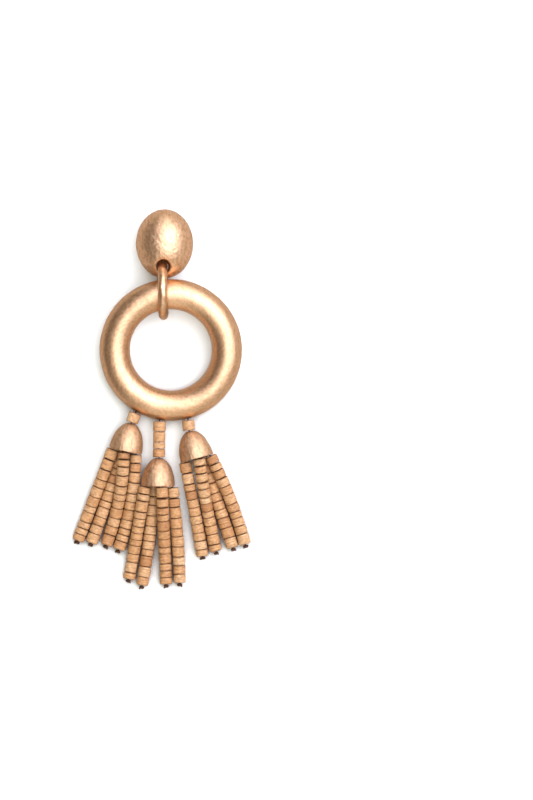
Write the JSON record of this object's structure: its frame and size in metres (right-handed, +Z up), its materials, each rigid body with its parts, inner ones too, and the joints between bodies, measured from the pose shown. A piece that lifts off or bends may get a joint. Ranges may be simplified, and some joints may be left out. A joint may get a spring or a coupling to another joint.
{
  "type": "tassel earring",
  "caption": "Clip-on tassel earring: domed oval top, round link, thick satin gold ring and bell-capped tassels of wood tube beads, lying on its back.",
  "frame": {"origin": "on the surface that the earring lies on, straight under the middle of the oval top, on the underside of the ear clip's pad strip", "axes": "+Y from the tassels to the oval top, +X to the right of the face, +Z up out of the surface and out of the earring's face"},
  "size_m": [0.0421, 0.0894, 0.0139],
  "materials": {
    "gold_oval": "satin warm gold with a fine brushed and lightly hammered face",
    "gold_ring": "satin warm gold, brushed across the tube",
    "gold_link": "satin warm gold with a hand-worked wire face",
    "gold_cap": "satin warm gold, brushed from top to rim",
    "clip_metal": "plain satin gold plate",
    "wood_bead": "bare pale brown wood with fine turned lines and dark seams",
    "dark_cord": "waxed dark brown thread, knotted"
  },
  "bodies": {
    "root": {"oval_top": "gold_oval", "ear_clip": "clip_metal", "link": "gold_link", "ring": "gold_ring", "cap_left": "gold_cap", "cap_middle": "gold_cap", "cap_right": "gold_cap", "neck_bead_left": "wood_bead", "neck_bead_middle_1": "wood_bead", "neck_bead_middle_2": "wood_bead", "neck_bead_middle_3": "wood_bead", "neck_bead_middle_4": "wood_bead", "neck_bead_right": "wood_bead", "neck_cord_left": "dark_cord", "neck_cord_middle": "dark_cord", "neck_cord_right": "dark_cord", "string_left_1": "wood_bead", "string_left_2": "wood_bead", "string_left_3": "wood_bead", "string_left_4": "wood_bead", "string_middle_1": "wood_bead", "string_middle_2": "wood_bead", "string_middle_3": "wood_bead", "string_middle_4": "wood_bead", "string_right_1": "wood_bead", "string_right_2": "wood_bead", "string_right_3": "wood_bead", "string_right_4": "wood_bead", "cord_left_1": "dark_cord", "cord_left_2": "dark_cord", "cord_left_3": "dark_cord", "cord_left_4": "dark_cord", "cord_middle_1": "dark_cord", "cord_middle_2": "dark_cord", "cord_middle_3": "dark_cord", "cord_middle_4": "dark_cord", "cord_right_1": "dark_cord", "cord_right_2": "dark_cord", "cord_right_3": "dark_cord", "cord_right_4": "dark_cord"}
  },
  "joints": []
}
